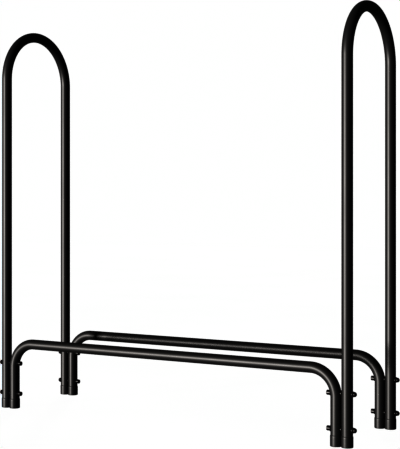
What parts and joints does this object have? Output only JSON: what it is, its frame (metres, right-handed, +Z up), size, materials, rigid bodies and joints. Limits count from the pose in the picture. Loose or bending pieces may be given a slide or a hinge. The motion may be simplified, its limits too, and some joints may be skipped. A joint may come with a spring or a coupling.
{
  "type": "firewood log rack",
  "caption": "Free-standing firewood rack: two tall bent-tube hoops joined at the foot by low tube rails, bolted at the corners, with caps on the tube ends.",
  "frame": {"origin": "on the floor, at the middle of the rack's length and depth", "axes": "+X along the rack's length, +Y across it from front to back, +Z up; the rack's front is -Y"},
  "size_m": [1.226, 0.33, 1.1999],
  "materials": {
    "powder_coated_tube": "satin black powder coat",
    "foot_cap_plastic": "moulded black plastic",
    "blackened_steel": "blackened steel fasteners"
  },
  "bodies": {
    "root": {"hoop_left": "powder_coated_tube", "hoop_right": "powder_coated_tube", "rail_front": "powder_coated_tube", "rail_rear": "powder_coated_tube", "hoop_foot_left_front": "foot_cap_plastic", "hoop_foot_left_rear": "foot_cap_plastic", "hoop_foot_right_front": "foot_cap_plastic", "hoop_foot_right_rear": "foot_cap_plastic", "rail_foot_left_front": "foot_cap_plastic", "rail_foot_left_rear": "foot_cap_plastic", "rail_foot_right_front": "foot_cap_plastic", "rail_foot_right_rear": "foot_cap_plastic", "bolts_left_front": "blackened_steel", "bolts_left_rear": "blackened_steel", "bolts_right_front": "blackened_steel", "bolts_right_rear": "blackened_steel", "head_washers_left_front": "blackened_steel", "head_washers_left_rear": "blackened_steel", "head_washers_right_front": "blackened_steel", "head_washers_right_rear": "blackened_steel", "spacer_washers_left_front": "blackened_steel", "spacer_washers_left_rear": "blackened_steel", "spacer_washers_right_front": "blackened_steel", "spacer_washers_right_rear": "blackened_steel", "nut_washers_left_front": "blackened_steel", "nut_washers_left_rear": "blackened_steel", "nut_washers_right_front": "blackened_steel", "nut_washers_right_rear": "blackened_steel", "nuts_left_front": "blackened_steel", "nuts_left_rear": "blackened_steel", "nuts_right_front": "blackened_steel", "nuts_right_rear": "blackened_steel"}
  },
  "joints": []
}
